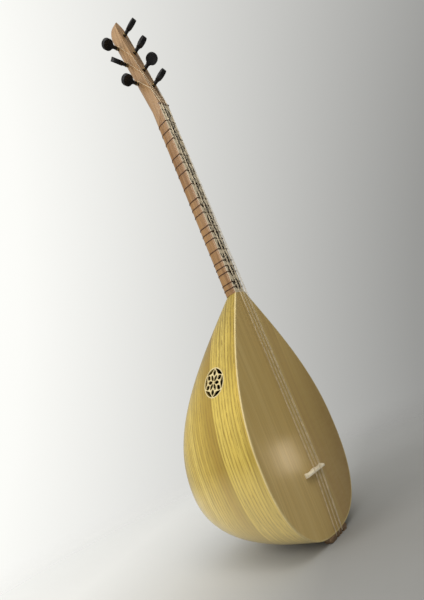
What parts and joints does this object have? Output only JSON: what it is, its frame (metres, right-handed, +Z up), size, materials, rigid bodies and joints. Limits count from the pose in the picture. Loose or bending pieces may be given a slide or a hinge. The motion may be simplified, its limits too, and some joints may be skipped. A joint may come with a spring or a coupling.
{
  "type": "short-neck long lute",
  "caption": "Long-necked plucked lute with a deep pear-shaped carved bowl, flat soundboard, tied movable frets, leaning peg head and turning pegs.",
  "frame": {"origin": "middle of the string holder's flat lower face, in line with the front of the soundboard", "axes": "+Z up the neck, -Y out of the soundboard's front, +X towards the thin-string side"},
  "size_m": [0.256, 0.284, 1.1007],
  "materials": {
    "bowl_wood": "glossy lacquer over straight yellow grain",
    "rosette": "satin pale openwork",
    "soundboard_wood": "satin lacquer over fine straight grain",
    "binding_wood": "satin pale strip",
    "neck_wood": "satin hardwood",
    "fingerboard_wood": "pale wood with dark scrollwork",
    "dark_wood": "satin",
    "bridge_wood": "satin",
    "holder_wood": "satin",
    "peg_black": "gloss black",
    "string_steel": "drawn wire",
    "fret_nylon": "dark twisted nylon line"
  },
  "bodies": {
    "instrument": {"bowl": "bowl_wood", "side_rosette": "rosette", "soundboard": "soundboard_wood", "soundboard_binding": "binding_wood", "neck": "neck_wood", "fingerboard": "fingerboard_wood", "nut": "dark_wood", "head": "neck_wood", "bridge": "bridge_wood", "string_holder": "holder_wood", "string_1": "string_steel", "string_2": "string_steel", "string_3": "string_steel", "string_4": "string_steel", "string_5": "string_steel", "string_6": "string_steel", "string_7": "string_steel"},
    "front_peg_1": {"front_peg_1": "peg_black", "front_winding_1": "string_steel"},
    "front_peg_2": {"front_peg_2": "peg_black", "front_winding_2": "string_steel"},
    "front_peg_3": {"front_peg_3": "peg_black", "front_winding_3": "string_steel"},
    "front_peg_4": {"front_peg_4": "peg_black", "front_winding_4": "string_steel"},
    "side_peg_1": {"side_peg_1": "peg_black", "side_winding_1": "string_steel"},
    "side_peg_2": {"side_peg_2": "peg_black", "side_winding_2": "string_steel"},
    "side_peg_3": {"side_peg_3": "peg_black", "side_winding_3": "string_steel"},
    "fret_01": {"fret_01": "fret_nylon"},
    "fret_02": {"fret_02": "fret_nylon"},
    "fret_03": {"fret_03": "fret_nylon"},
    "fret_04": {"fret_04": "fret_nylon"},
    "fret_05": {"fret_05": "fret_nylon"},
    "fret_06": {"fret_06": "fret_nylon"},
    "fret_07": {"fret_07": "fret_nylon"},
    "fret_08": {"fret_08": "fret_nylon"},
    "fret_09": {"fret_09": "fret_nylon"},
    "fret_10": {"fret_10": "fret_nylon"},
    "fret_11": {"fret_11": "fret_nylon"},
    "fret_12": {"fret_12": "fret_nylon"},
    "fret_13": {"fret_13": "fret_nylon"},
    "fret_14": {"fret_14": "fret_nylon"},
    "fret_15": {"fret_15": "fret_nylon"},
    "fret_16": {"fret_16": "fret_nylon"},
    "fret_17": {"fret_17": "fret_nylon"},
    "fret_18": {"fret_18": "fret_nylon"},
    "fret_19": {"fret_19": "fret_nylon"}
  },
  "joints": [
    {"name": "front_peg_1_turn", "type": "hinge", "parent": "instrument", "child": "front_peg_1", "pos_m": [0, 0.0071, 0.90951], "axis": [0, -0.9906, 0.1366], "continuous": true},
    {"name": "front_peg_2_turn", "type": "hinge", "parent": "instrument", "child": "front_peg_2", "pos_m": [0, 0.01338, 0.95508], "axis": [0, -0.9906, 0.1366], "continuous": true},
    {"name": "front_peg_3_turn", "type": "hinge", "parent": "instrument", "child": "front_peg_3", "pos_m": [0, 0.02021, 1.00461], "axis": [0, -0.9906, 0.1366], "continuous": true},
    {"name": "front_peg_4_turn", "type": "hinge", "parent": "instrument", "child": "front_peg_4", "pos_m": [0, 0.02759, 1.05811], "axis": [0, -0.9906, 0.1366], "continuous": true},
    {"name": "side_peg_1_turn", "type": "hinge", "parent": "instrument", "child": "side_peg_1", "pos_m": [-0.01273, 0.03118, 0.93042], "axis": [-1, 0, 0], "continuous": true},
    {"name": "side_peg_2_turn", "type": "hinge", "parent": "instrument", "child": "side_peg_2", "pos_m": [-0.01273, 0.03856, 0.98391], "axis": [-1, 0, 0], "continuous": true},
    {"name": "side_peg_3_turn", "type": "hinge", "parent": "instrument", "child": "side_peg_3", "pos_m": [-0.01273, 0.04539, 1.03344], "axis": [-1, 0, 0], "continuous": true},
    {"name": "fret_01_slide", "type": "slide", "parent": "instrument", "child": "fret_01", "axis": [0, 0, 1], "range_m": [-0.003, 0.003]},
    {"name": "fret_02_slide", "type": "slide", "parent": "instrument", "child": "fret_02", "axis": [0, 0, 1], "range_m": [-0.003, 0.003]},
    {"name": "fret_03_slide", "type": "slide", "parent": "instrument", "child": "fret_03", "axis": [0, 0, 1], "range_m": [-0.003, 0.003]},
    {"name": "fret_04_slide", "type": "slide", "parent": "instrument", "child": "fret_04", "axis": [0, 0, 1], "range_m": [-0.003, 0.003]},
    {"name": "fret_05_slide", "type": "slide", "parent": "instrument", "child": "fret_05", "axis": [0, 0, 1], "range_m": [-0.003, 0.003]},
    {"name": "fret_06_slide", "type": "slide", "parent": "instrument", "child": "fret_06", "axis": [0, 0, 1], "range_m": [-0.003, 0.003]},
    {"name": "fret_07_slide", "type": "slide", "parent": "instrument", "child": "fret_07", "axis": [0, 0, 1], "range_m": [-0.003, 0.003]},
    {"name": "fret_08_slide", "type": "slide", "parent": "instrument", "child": "fret_08", "axis": [0, 0, 1], "range_m": [-0.003, 0.003]},
    {"name": "fret_09_slide", "type": "slide", "parent": "instrument", "child": "fret_09", "axis": [0, 0, 1], "range_m": [-0.003, 0.003]},
    {"name": "fret_10_slide", "type": "slide", "parent": "instrument", "child": "fret_10", "axis": [0, 0, 1], "range_m": [-0.003, 0.003]},
    {"name": "fret_11_slide", "type": "slide", "parent": "instrument", "child": "fret_11", "axis": [0, 0, 1], "range_m": [-0.003, 0.003]},
    {"name": "fret_12_slide", "type": "slide", "parent": "instrument", "child": "fret_12", "axis": [0, 0, 1], "range_m": [-0.003, 0.003]},
    {"name": "fret_13_slide", "type": "slide", "parent": "instrument", "child": "fret_13", "axis": [0, 0, 1], "range_m": [-0.003, 0.003]},
    {"name": "fret_14_slide", "type": "slide", "parent": "instrument", "child": "fret_14", "axis": [0, 0, 1], "range_m": [-0.003, 0.003]},
    {"name": "fret_15_slide", "type": "slide", "parent": "instrument", "child": "fret_15", "axis": [0, 0, 1], "range_m": [-0.003, 0.003]},
    {"name": "fret_16_slide", "type": "slide", "parent": "instrument", "child": "fret_16", "axis": [0, 0, 1], "range_m": [-0.003, 0.003]},
    {"name": "fret_17_slide", "type": "slide", "parent": "instrument", "child": "fret_17", "axis": [0, 0, 1], "range_m": [-0.003, 0.003]},
    {"name": "fret_18_slide", "type": "slide", "parent": "instrument", "child": "fret_18", "axis": [0, 0, 1], "range_m": [-0.003, 0.003]},
    {"name": "fret_19_slide", "type": "slide", "parent": "instrument", "child": "fret_19", "axis": [0, 0, 1], "range_m": [-0.003, 0.003]}
  ]
}
